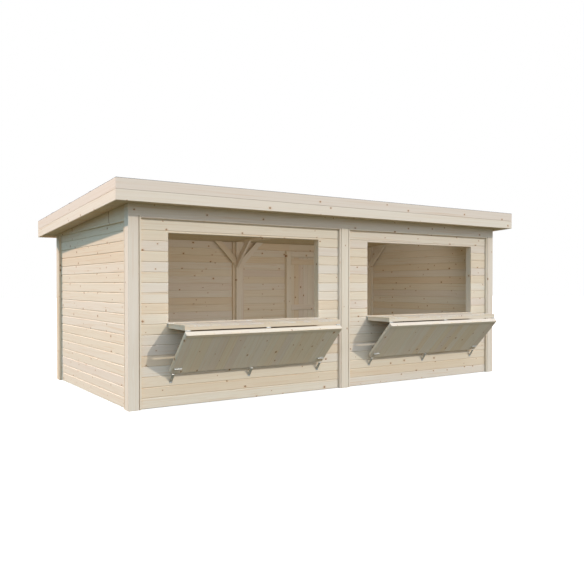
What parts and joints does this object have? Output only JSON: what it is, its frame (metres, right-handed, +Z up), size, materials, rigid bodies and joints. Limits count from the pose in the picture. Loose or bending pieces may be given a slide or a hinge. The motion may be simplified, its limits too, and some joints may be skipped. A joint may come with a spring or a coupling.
{
  "type": "wooden market stall",
  "caption": "Timber market stall with a mono-pitch roof, a back door and two serving openings whose folding hatches form counters.",
  "frame": {"origin": "on the ground under the middle of the whole outline, with the hatches folded down as counters", "axes": "+X along the front to the right as a customer sees it, +Y from the front to the back, +Z up"},
  "size_m": [6.408, 3.6998, 2.513],
  "materials": {
    "pine": "untreated planed pine, satin",
    "fascia_pine": "untreated planed pine, satin",
    "inner_pine": "untreated sawn pine, matt",
    "hatch_pine": "untreated planed pine, satin",
    "felt": "roofing felt, matt",
    "zinc": "zinc plated, satin"
  },
  "bodies": {
    "stall": {"front_posts": "pine", "back_posts": "pine", "front_beam": "pine", "side_plates": "pine", "cross_beam": "inner_pine", "roof_soffit": "inner_pine", "roof_joists": "pine", "roof_deck": "pine", "roof_felt": "felt", "front_fascia": "fascia_pine", "back_fascia": "fascia_pine", "left_fascia": "fascia_pine", "right_fascia": "fascia_pine", "front_left_wall": "pine", "front_right_wall": "pine", "left_wall": "pine", "right_wall": "pine", "back_left_wall": "pine", "wall_left_of_door": "pine", "wall_right_of_door": "pine", "wall_over_door": "pine", "left_opening_frame": "pine", "right_opening_frame": "pine", "door_frame": "inner_pine", "wall_trim": "pine", "wall_battens": "inner_pine", "back_braces": "inner_pine", "side_braces": "inner_pine", "cross_braces": "inner_pine", "wall_hinges": "zinc", "foot_catches": "zinc"},
    "door": {"door_boards": "pine", "door_ledges": "inner_pine", "door_hardware": "zinc"},
    "left_counter": {"left_counter": "hatch_pine", "left_counter_battens": "hatch_pine", "left_counter_hinges": "zinc"},
    "left_flap": {"left_flap": "hatch_pine", "left_flap_battens": "hatch_pine", "left_flap_hardware": "zinc"},
    "right_counter": {"right_counter": "hatch_pine", "right_counter_battens": "hatch_pine", "right_counter_hinges": "zinc"},
    "right_flap": {"right_flap": "hatch_pine", "right_flap_battens": "hatch_pine", "right_flap_hardware": "zinc"}
  },
  "joints": [
    {"name": "door_hinge", "type": "hinge", "parent": "stall", "child": "door", "pos_m": [1.8725, 1.5979, 1], "axis": [0, 0, -1], "range_deg": [0, 100]},
    {"name": "left_counter_hinge", "type": "hinge", "parent": "stall", "child": "left_counter", "pos_m": [-1.47, -1.3551, 0.948], "axis": [-1, 0, 0], "range_deg": [0, 90]},
    {"name": "left_flap_hinge", "type": "hinge", "parent": "left_counter", "child": "left_flap", "pos_m": [-1.47, -1.8061, 0.887], "axis": [-1, 0, 0], "range_deg": [0, 133.4]},
    {"name": "right_counter_hinge", "type": "hinge", "parent": "stall", "child": "right_counter", "pos_m": [1.47, -1.3551, 0.948], "axis": [-1, 0, 0], "range_deg": [0, 90]},
    {"name": "right_flap_hinge", "type": "hinge", "parent": "right_counter", "child": "right_flap", "pos_m": [1.47, -1.8061, 0.887], "axis": [-1, 0, 0], "range_deg": [0, 133.4]}
  ]
}
